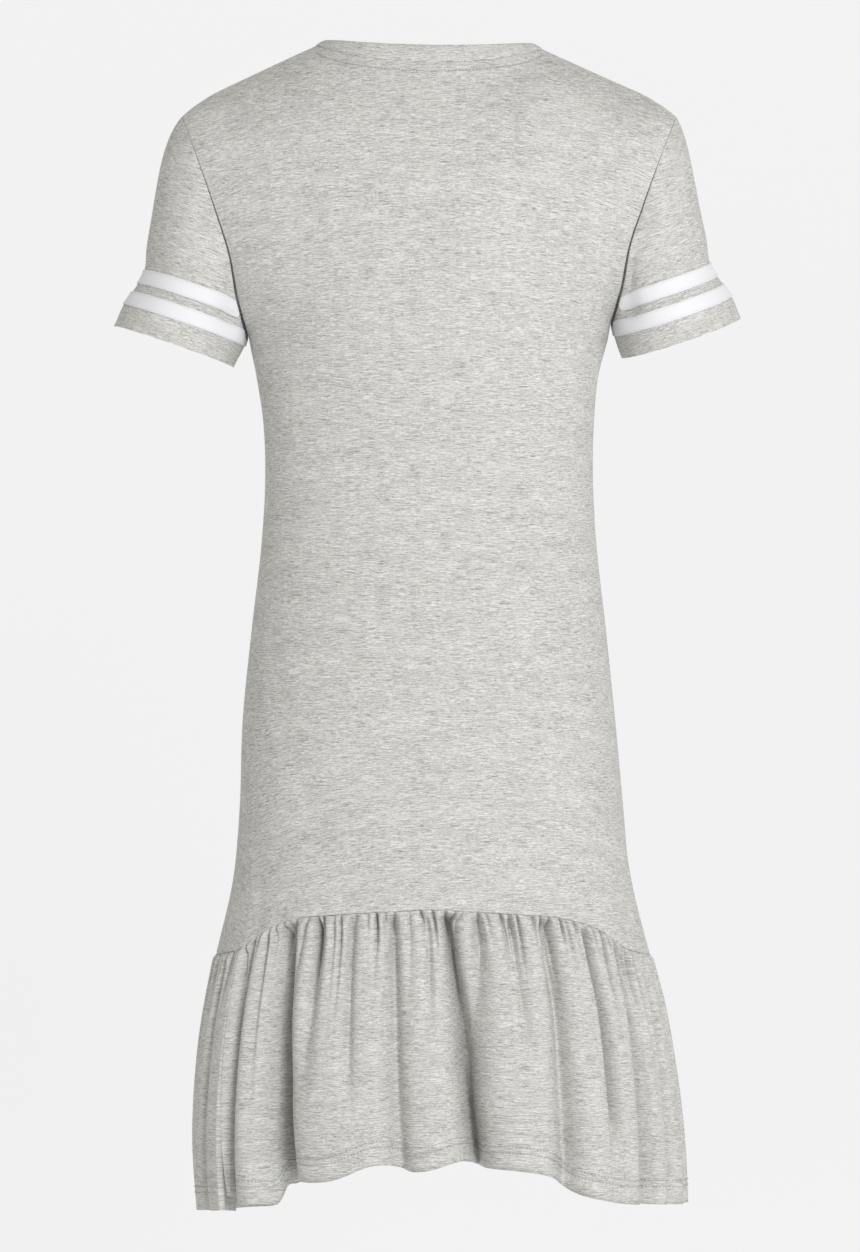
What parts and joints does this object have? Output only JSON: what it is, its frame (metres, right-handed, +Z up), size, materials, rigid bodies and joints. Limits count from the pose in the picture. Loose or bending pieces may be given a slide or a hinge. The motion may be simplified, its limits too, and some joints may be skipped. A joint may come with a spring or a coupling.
{
  "type": "t-shirt dress",
  "caption": "Knee-length knitted t-shirt dress, filled out with no wearer: ribless crew neck, short sleeves with sewn tapes, shaped body and a gathered ruffle at the hem.",
  "frame": {"origin": "midway between the neck ends of the two shoulder seams, where the dress is held", "axes": "+Z up, +Y out of the back (the side in the picture), +X the wearer's left"},
  "size_m": [0.4815, 0.2666, 0.9077],
  "materials": {
    "jersey": "heather grey single jersey, matt",
    "tape": "white woven tape, matt"
  },
  "bodies": {
    "root": {"back_panel": "jersey", "front_panel": "jersey", "neckband": "jersey", "ruffle_back": "jersey", "ruffle_front": "jersey", "sleeve_left": "jersey", "sleeve_right": "jersey", "sleeve_tape_left_lower": "tape", "sleeve_tape_left_upper": "tape", "sleeve_tape_right_lower": "tape", "sleeve_tape_right_upper": "tape"}
  },
  "joints": []
}
